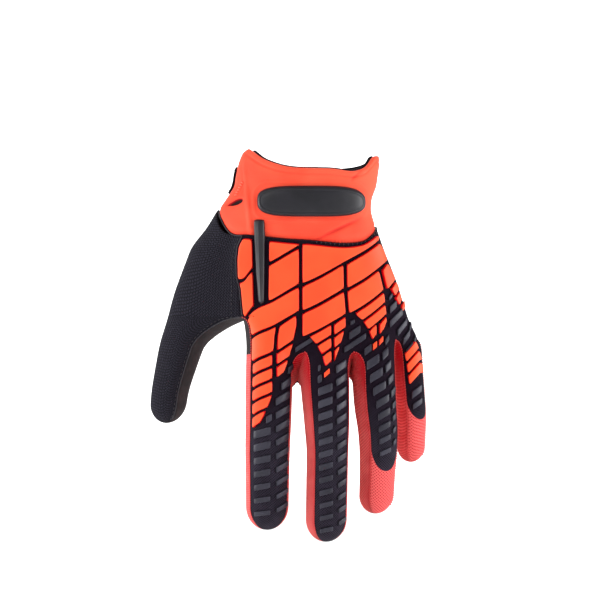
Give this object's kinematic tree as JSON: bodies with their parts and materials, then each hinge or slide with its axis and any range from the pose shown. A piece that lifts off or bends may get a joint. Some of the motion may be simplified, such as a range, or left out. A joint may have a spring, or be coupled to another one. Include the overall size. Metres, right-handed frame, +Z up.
{
  "type": "work glove",
  "caption": "Left-hand work glove with raised rubber tiles on the back, side strips between the fingers, a leather palm and a neoprene cuff.",
  "frame": {"origin": "middle of the wrist, where the cuff closes round it", "axes": "+Z up the forearm, fingers along -Z, +X to the little finger's side, back of the hand towards -Y"},
  "size_m": [0.1557, 0.0564, 0.2206],
  "materials": {
    "orange_rubber": "moulded, satin",
    "black_rubber": "moulded, satin",
    "base_mesh": "knitted mesh",
    "knit": "fine knit",
    "coral_mesh": "mesh",
    "neoprene": "laminated foam",
    "palm_leather": "suede-like",
    "lining": "brushed"
  },
  "bodies": {
    "root": {"back_panel": "base_mesh", "closure_tab": "lining", "cuff": "neoprene", "cuff_lining": "lining", "fourchette_index_middle": "coral_mesh", "fourchette_middle_ring": "coral_mesh", "fourchette_ring_little": "coral_mesh", "palm_panel": "palm_leather", "side_index": "coral_mesh", "side_little": "coral_mesh", "thumb_back": "knit", "thumb_palm": "palm_leather", "thumb_web": "palm_leather", "tile_hand_1": "orange_rubber", "tile_hand_10": "orange_rubber", "tile_hand_2": "orange_rubber", "tile_hand_3": "orange_rubber", "tile_hand_4": "orange_rubber", "tile_hand_5": "orange_rubber", "tile_hand_6": "orange_rubber", "tile_hand_7": "orange_rubber", "tile_hand_8": "orange_rubber", "tile_hand_9": "orange_rubber", "tile_index_1": "orange_rubber", "tile_index_2": "orange_rubber", "tile_index_3": "orange_rubber", "tile_index_4": "orange_rubber", "tile_index_5": "orange_rubber", "tile_index_6": "orange_rubber", "tile_index_7": "orange_rubber", "tile_little_1": "orange_rubber", "tile_little_2": "orange_rubber", "tile_little_3": "orange_rubber", "tile_little_4": "orange_rubber", "tile_little_5": "orange_rubber", "tile_middle_1": "orange_rubber", "tile_middle_2": "orange_rubber", "tile_middle_3": "orange_rubber", "tile_middle_4": "orange_rubber", "tile_middle_5": "orange_rubber", "tile_middle_6": "orange_rubber", "tile_ring_1": "orange_rubber", "tile_ring_2": "orange_rubber", "tile_ring_3": "orange_rubber", "tile_ring_4": "orange_rubber", "tile_wrist_1": "orange_rubber", "tile_wrist_2": "orange_rubber", "tile_wrist_3": "orange_rubber", "tongue": "black_rubber", "wrist_plate": "black_rubber"}
  },
  "joints": []
}
